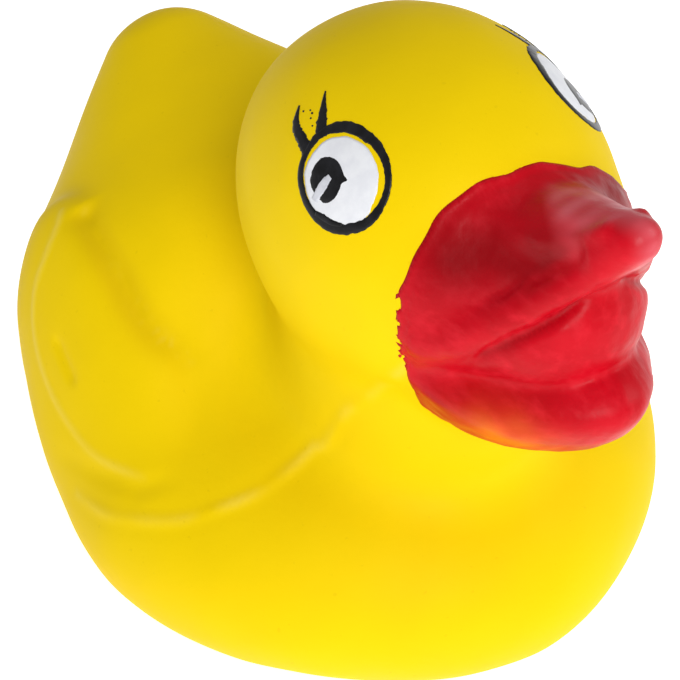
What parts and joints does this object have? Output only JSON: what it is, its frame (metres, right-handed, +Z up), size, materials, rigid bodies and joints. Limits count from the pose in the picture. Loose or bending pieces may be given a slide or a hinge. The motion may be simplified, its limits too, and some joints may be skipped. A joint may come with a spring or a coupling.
{
  "type": "latex duck dog toy",
  "caption": "Hollow cast latex duck with a turned-up open beak, painted eyes, folded wings and a flat base that holds a squeaker.",
  "frame": {"origin": "centre of the duck's box in plan, on the plane that its flat base rests on", "axes": "+Z up, -Y the way the beak points, +X the duck's own left side"},
  "size_m": [0.0878, 0.1142, 0.0959],
  "materials": {
    "latex": "matte yellow latex; the beak is brushed red and the eyes are painted black and white",
    "squeaker_cup": "moulded, matte white",
    "squeaker_plug": "moulded, matte off-white",
    "squeaker_reed": "thin springy film"
  },
  "bodies": {
    "root": {"latex_shell": "latex", "squeaker_cup": "squeaker_cup", "squeaker_plug": "squeaker_plug", "squeaker_reed": "squeaker_reed"}
  },
  "joints": []
}
